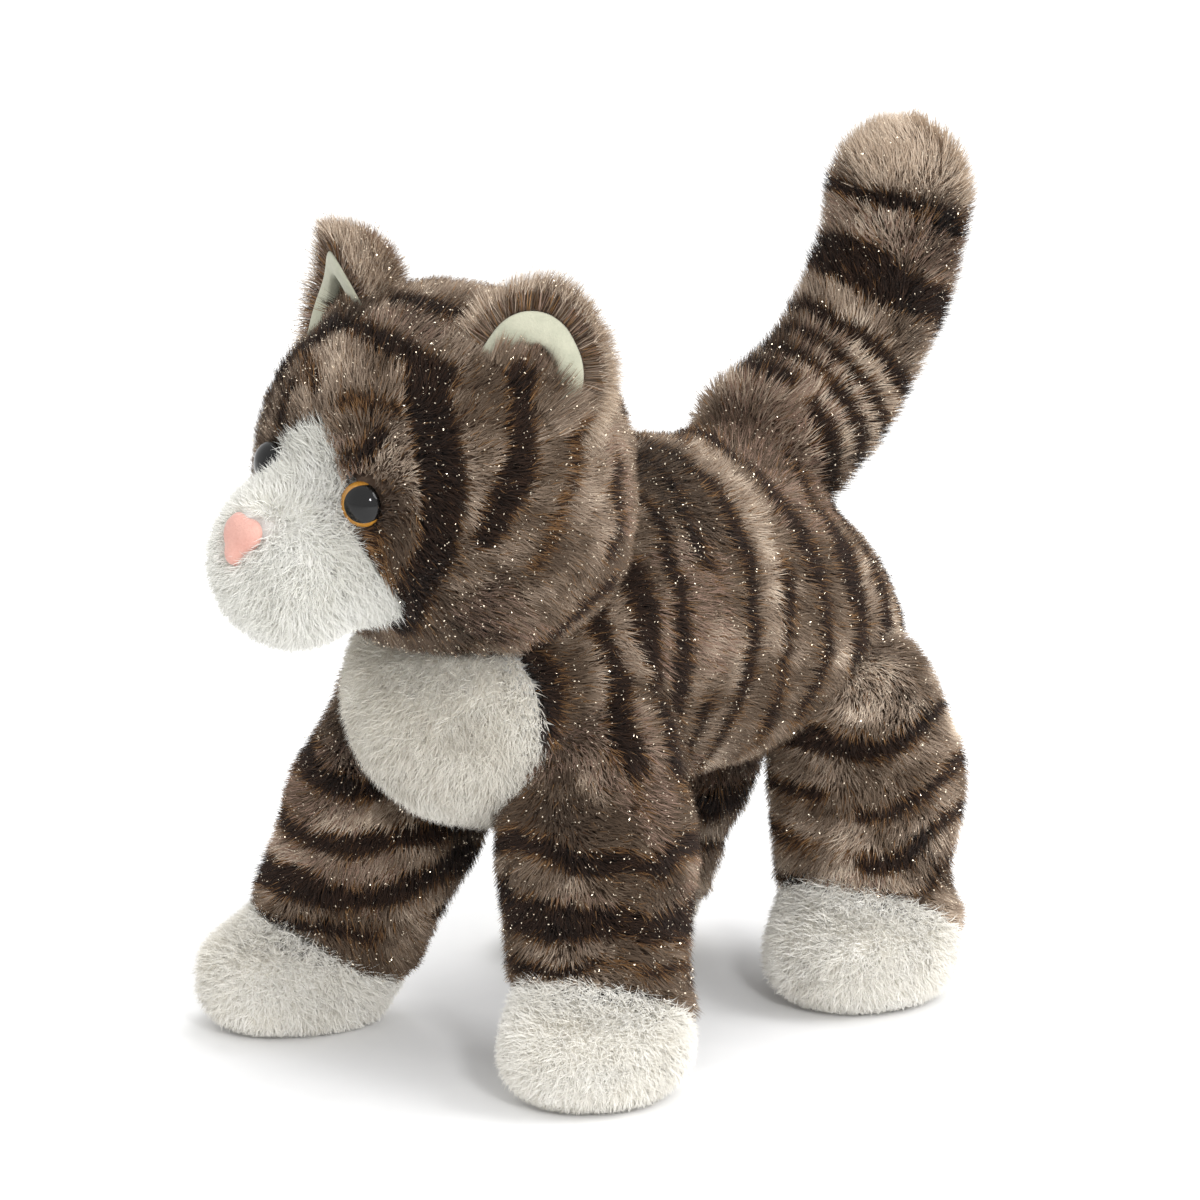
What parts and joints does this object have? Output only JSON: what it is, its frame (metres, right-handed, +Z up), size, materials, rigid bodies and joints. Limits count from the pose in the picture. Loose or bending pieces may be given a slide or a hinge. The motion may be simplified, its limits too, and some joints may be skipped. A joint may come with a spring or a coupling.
{
  "type": "plush cat",
  "caption": "Small stuffed tabby cat toy, standing on its paws with its tail up; head, ears, legs and tail flex at their seams.",
  "frame": {"origin": "under the middle of the whole toy, on the surface that the paws stand on", "axes": "+Z up; the cat faces -Y; +X is the cat's left side"},
  "size_m": [0.148, 0.2513, 0.2107],
  "materials": {
    "striped_plush": "dense striped pile, about 6 mm, with fine glints",
    "white_plush": "dense plain white pile, about 6 mm",
    "cream_plush": "dense plain cream-white pile, about 6 mm",
    "ear_fabric": "smooth short-nap fabric, matt",
    "nose_fabric": "short-nap pink fabric, matt",
    "eye_plastic": "clear moulded dome over an amber iris and a black pupil",
    "washer_plastic": "as moulded",
    "fibre_fill": "loose crimped polyester fibre",
    "pellet_fill": "round plastic beans"
  },
  "bodies": {
    "torso": {"torso_shell": "striped_plush", "torso_stuffing": "fibre_fill", "chest_panel": "white_plush"},
    "neck": {"neck_stuffing": "fibre_fill"},
    "head": {"head_shell": "striped_plush", "head_stuffing": "fibre_fill", "muzzle_panel": "white_plush", "nose_patch": "nose_fabric", "eye_left": "eye_plastic", "eye_right": "eye_plastic", "eye_washer_left": "washer_plastic", "eye_washer_right": "washer_plastic"},
    "ear_left": {"ear_left_back": "striped_plush", "ear_left_lining": "ear_fabric"},
    "ear_right": {"ear_right_back": "striped_plush", "ear_right_lining": "ear_fabric"},
    "tail": {"tail_shell": "striped_plush", "tail_stuffing": "fibre_fill"},
    "front_left_leg": {"front_left_leg_shell": "striped_plush", "front_left_leg_stuffing": "fibre_fill", "front_left_paw_shell": "cream_plush", "front_left_paw_pellets": "pellet_fill"},
    "front_right_leg": {"front_right_leg_shell": "striped_plush", "front_right_leg_stuffing": "fibre_fill", "front_right_paw_shell": "cream_plush", "front_right_paw_pellets": "pellet_fill"},
    "hind_left_leg": {"hind_left_leg_shell": "striped_plush", "hind_left_leg_stuffing": "fibre_fill", "hind_left_paw_shell": "cream_plush", "hind_left_paw_pellets": "pellet_fill"},
    "hind_right_leg": {"hind_right_leg_shell": "striped_plush", "hind_right_leg_stuffing": "fibre_fill", "hind_right_paw_shell": "cream_plush", "hind_right_paw_pellets": "pellet_fill"}
  },
  "joints": [
    {"name": "head_nod", "type": "hinge", "parent": "torso", "child": "neck", "pos_m": [0, -0.05915, 0.1515], "axis": [1, 0, 0], "range_deg": [-10, 10], "stiffness_Nm_per_rad": 1},
    {"name": "head_turn", "type": "hinge", "parent": "neck", "child": "head", "pos_m": [0, -0.05915, 0.1515], "axis": [0, 0, 1], "range_deg": [-15, 15], "stiffness_Nm_per_rad": 1},
    {"name": "ear_left_fold", "type": "hinge", "parent": "head", "child": "ear_left", "pos_m": [0.0357, -0.06043, 0.17968], "axis": [0.588, 0.3508, -0.7289], "range_deg": [-12, 12], "stiffness_Nm_per_rad": 0.05},
    {"name": "ear_right_fold", "type": "hinge", "parent": "head", "child": "ear_right", "pos_m": [-0.02985, -0.0615, 0.18576], "axis": [0.6664, -0.508, 0.5457], "range_deg": [-12, 12], "stiffness_Nm_per_rad": 0.05},
    {"name": "front_left_leg_swing", "type": "hinge", "parent": "torso", "child": "front_left_leg", "pos_m": [0.027, -0.03515, 0.077], "axis": [1, 0, 0], "range_deg": [-10, 10], "stiffness_Nm_per_rad": 1.5},
    {"name": "front_right_leg_swing", "type": "hinge", "parent": "torso", "child": "front_right_leg", "pos_m": [-0.027, -0.03716, 0.077], "axis": [1, 0, 0], "range_deg": [-10, 10], "stiffness_Nm_per_rad": 1.5},
    {"name": "hind_left_leg_swing", "type": "hinge", "parent": "torso", "child": "hind_left_leg", "pos_m": [0.027, 0.06184, 0.071], "axis": [1, 0, 0], "range_deg": [-10, 10], "stiffness_Nm_per_rad": 1.5},
    {"name": "hind_right_leg_swing", "type": "hinge", "parent": "torso", "child": "hind_right_leg", "pos_m": [-0.027, 0.05785, 0.071], "axis": [1, 0, 0], "range_deg": [-10, 10], "stiffness_Nm_per_rad": 1.5},
    {"name": "tail_wag", "type": "hinge", "parent": "torso", "child": "tail", "pos_m": [0, 0.06134, 0.135], "axis": [0, -0.342, 0.9397], "range_deg": [-15, 15], "stiffness_Nm_per_rad": 0.5}
  ]
}
